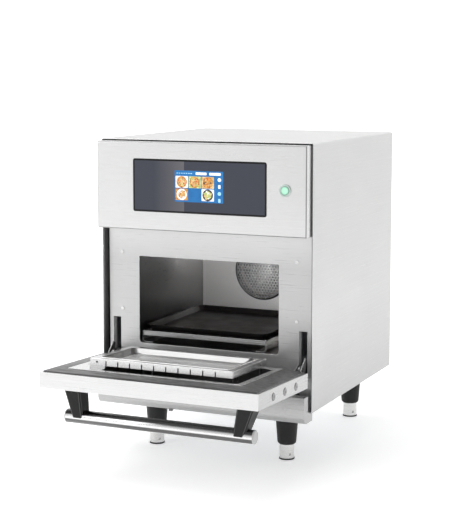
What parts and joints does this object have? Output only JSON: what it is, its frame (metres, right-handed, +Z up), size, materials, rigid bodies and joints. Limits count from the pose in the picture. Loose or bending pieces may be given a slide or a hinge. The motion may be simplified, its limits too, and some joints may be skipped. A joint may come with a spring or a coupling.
{
  "type": "speed oven",
  "caption": "Countertop rapid cooking oven on legs: steel housing, glass control panel, drop-down door with a bar handle, chamber with rack and baking tray.",
  "frame": {"origin": "on the floor, below the middle of the whole oven as it stands with its door open", "axes": "+X to the oven's right seen from the front, +Y to its back, +Z up; the door opens towards -Y"},
  "size_m": [0.47, 0.7812, 0.656],
  "materials": {
    "housing_steel": "brushed stainless sheet, side and top of the housing",
    "panel_steel": "brushed stainless sheet, grain along X",
    "door_steel": "bright brushed stainless sheet",
    "chamber_steel": "smooth stainless sheet with a warm sheen",
    "galvanised": "zinc coated inner sheet",
    "black_glass": "dark gloss glass",
    "screen": "lit colour display",
    "board_green": "circuit board",
    "black_plastic": "fine grained black plastic",
    "seal_dark": "dark moulded door seal",
    "chrome": "polished ring and fittings",
    "button_cap": "satin cap with a green lamp",
    "handle_steel": "satin steel tube",
    "handle_cap": "light end caps",
    "wool": "mineral wool",
    "cast_aluminium": "bare aluminium",
    "dark_iron": "varnished laminated iron",
    "heater_steel": "oxidised heater sheath",
    "non_stick": "black non-stick coat",
    "foot_steel": "turned stainless tube",
    "zinc_screw": "zinc plated screws",
    "spring_steel": "oiled spring steel"
  },
  "bodies": {
    "oven": {"housing_cover": "housing_steel", "base_plate": "galvanised", "rear_panel": "housing_steel", "exhaust_hood": "black_plastic", "front_plate": "panel_steel", "housing_screws": "zinc_screw", "control_panel": "panel_steel", "glass_panel": "black_glass", "display_carrier": "black_plastic", "display": "screen", "control_board": "board_green", "button_bezel": "chrome", "button_nut": "chrome", "button_contact": "black_plastic", "chamber": "chamber_steel", "chamber_blanket": "wool", "grille_ring": "non_stick", "fan_grille": "chamber_steel", "fan_duct": "galvanised", "heater": "heater_steel", "fan_motor": "dark_iron", "wave_guide": "galvanised", "magnetron": "cast_aluminium", "transformer": "dark_iron", "capacitor": "cast_aluminium", "equipment_shelf": "galvanised", "relay_board": "board_green", "blower_housing": "black_plastic", "blower_motor": "dark_iron", "cable_gland": "black_plastic", "door_switches": "black_plastic", "leg_cups": "black_plastic", "hinge_links": "galvanised", "hinge_cases": "galvanised", "hinge_springs": "spring_steel"},
    "door": {"door_skin": "door_steel", "side_screws": "zinc_screw", "door_seal": "seal_dark", "door_liner": "door_steel", "choke": "door_steel", "choke_pan": "door_steel", "choke_posts": "chrome", "door_insulation": "wool", "handle_bar": "handle_steel", "handle_caps": "handle_cap", "handle_bracket_left": "black_plastic", "handle_bracket_right": "black_plastic", "hinge_arm_left": "galvanised", "hinge_arm_right": "galvanised"},
    "button": {"power_button": "button_cap"},
    "front_cover": {"lower_cover": "panel_steel", "air_filter": "black_plastic"},
    "rack": {"rack": "door_steel"},
    "tray": {"tray": "non_stick"},
    "fan": {"fan_wheel": "cast_aluminium"},
    "blower": {"blower_wheel": "black_plastic"},
    "foot_front_left": {"foot_front_left": "foot_steel"},
    "foot_front_right": {"foot_front_right": "foot_steel"},
    "foot_rear_left": {"foot_rear_left": "foot_steel"},
    "foot_rear_right": {"foot_rear_right": "foot_steel"}
  },
  "joints": [
    {"name": "door_hinge", "type": "hinge", "parent": "oven", "child": "door", "pos_m": [0, -0.1275, 0.2058], "axis": [-1, 0, 0], "range_deg": [0, 87.43]},
    {"name": "button_press", "type": "slide", "parent": "oven", "child": "button", "axis": [0, 1, 0], "range_m": [0, 0.002], "stiffness_N_per_m": 400, "springref_m": -0.001},
    {"name": "cover_pull", "type": "slide", "parent": "oven", "child": "front_cover", "axis": [0, -1, 0], "range_m": [0, 0.06]},
    {"name": "rack_slide", "type": "slide", "parent": "oven", "child": "rack", "axis": [0, 1, 0], "range_m": [-0.055, 0]},
    {"name": "tray_slide", "type": "slide", "parent": "rack", "child": "tray", "axis": [0, 1, 0], "range_m": [-0.25, 0]},
    {"name": "fan_spin", "type": "hinge", "parent": "oven", "child": "fan", "pos_m": [-0.011, 0.24, 0.347], "axis": [0, 1, 0], "continuous": true},
    {"name": "blower_spin", "type": "hinge", "parent": "oven", "child": "blower", "pos_m": [-0.02, 0.29244, 0.1877], "axis": [1, 0, 0], "continuous": true},
    {"name": "foot_front_left_screw", "type": "slide", "parent": "oven", "child": "foot_front_left", "axis": [0, 0, -1], "range_m": [0, 0.012]},
    {"name": "foot_front_right_screw", "type": "slide", "parent": "oven", "child": "foot_front_right", "axis": [0, 0, -1], "range_m": [0, 0.012]},
    {"name": "foot_rear_left_screw", "type": "slide", "parent": "oven", "child": "foot_rear_left", "axis": [0, 0, -1], "range_m": [0, 0.012]},
    {"name": "foot_rear_right_screw", "type": "slide", "parent": "oven", "child": "foot_rear_right", "axis": [0, 0, -1], "range_m": [0, 0.012]}
  ]
}
